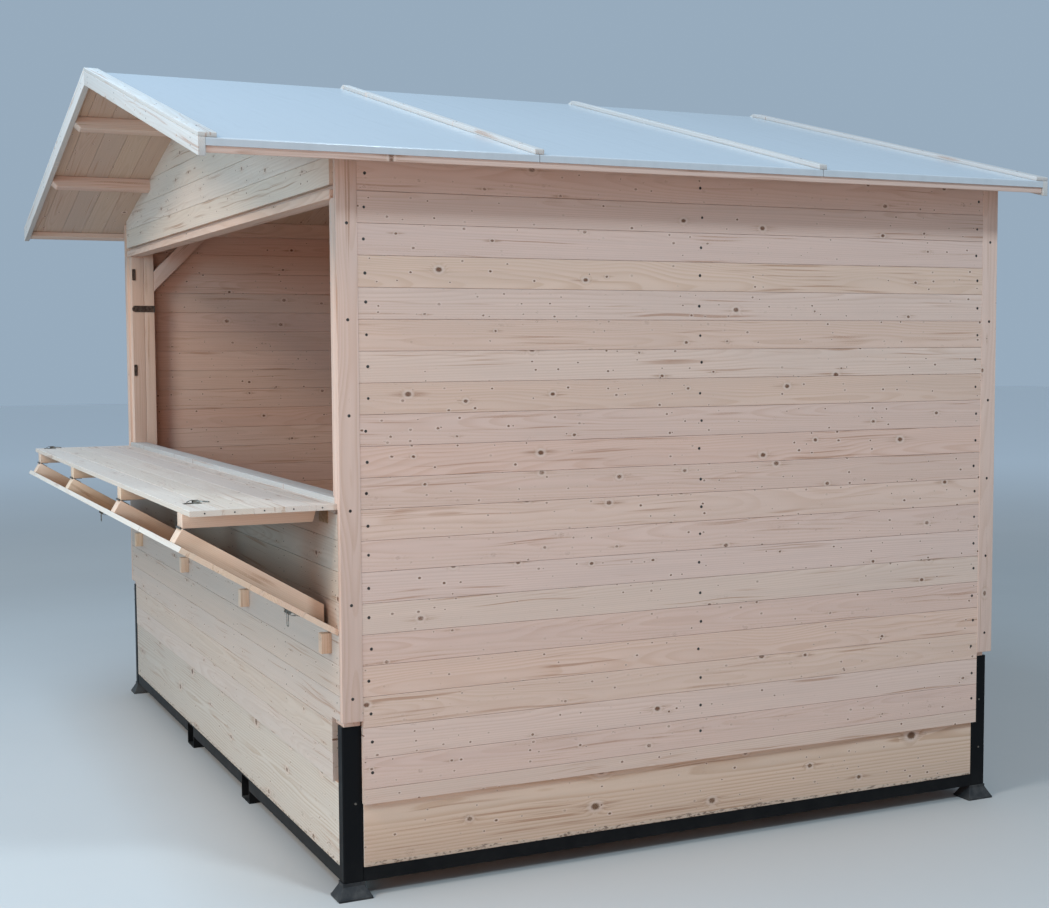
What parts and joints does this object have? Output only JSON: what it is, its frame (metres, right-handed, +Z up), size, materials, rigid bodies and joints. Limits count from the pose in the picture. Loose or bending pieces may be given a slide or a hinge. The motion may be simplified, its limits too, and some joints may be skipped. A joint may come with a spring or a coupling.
{
  "type": "wooden market stall",
  "caption": "Boarded wooden market stall with a low gabled roof in white sheet, an open serving front with a folding counter and a black steel base frame.",
  "frame": {"origin": "on the ground, in the middle of the overall plan", "axes": "+Z up, +X to the right along the serving counter, -Y towards the customers"},
  "size_m": [3.336, 2.8312, 2.5345],
  "materials": {
    "wall_boards": "planed spruce boards, unpainted, satin",
    "frame_timber": "planed spruce framing, unpainted, matte",
    "base_planks": "wide pine planks, unpainted, matte",
    "base_steel": "black paint on square steel tube, satin",
    "roof_white": "white plastic coated roof sheet, slightly glossy",
    "zinc_steel": "zinc plated fittings, satin"
  },
  "bodies": {
    "root": {"barge_boards": "wall_boards", "base_panels": "base_planks", "base_rails": "base_steel", "corner_boards": "wall_boards", "corner_posts": "frame_timber", "corner_tubes": "base_steel", "counter_boards": "wall_boards", "counter_hinges": "zinc_steel", "counter_ribs": "wall_boards", "counter_sill": "frame_timber", "door_fittings": "zinc_steel", "door_posts": "frame_timber", "eave_rails": "frame_timber", "flap_boards": "wall_boards", "flap_hinges": "zinc_steel", "flap_ribs": "wall_boards", "floor_bearers": "base_steel", "floor_deck": "frame_timber", "foot_pads": "base_steel", "fork_pockets": "base_steel", "front_gable": "wall_boards", "front_jambs": "wall_boards", "front_wall": "wall_boards", "header_board": "wall_boards", "jamb_fittings": "zinc_steel", "left_roof_boards": "frame_timber", "left_roof_sheets": "roof_white", "left_wall": "wall_boards", "post_feet": "wall_boards", "purlins": "frame_timber", "rear_door": "wall_boards", "rear_gable": "wall_boards", "rear_wall": "wall_boards", "ridge_beam": "frame_timber", "right_roof_boards": "frame_timber", "right_roof_sheets": "roof_white", "right_wall": "wall_boards", "seam_battens": "wall_boards", "support_blocks": "wall_boards", "toggle_latches": "zinc_steel", "verge_caps": "wall_boards", "wall_braces": "frame_timber", "wall_lintels": "frame_timber", "wall_plates": "frame_timber", "wall_studs": "frame_timber"}
  },
  "joints": []
}
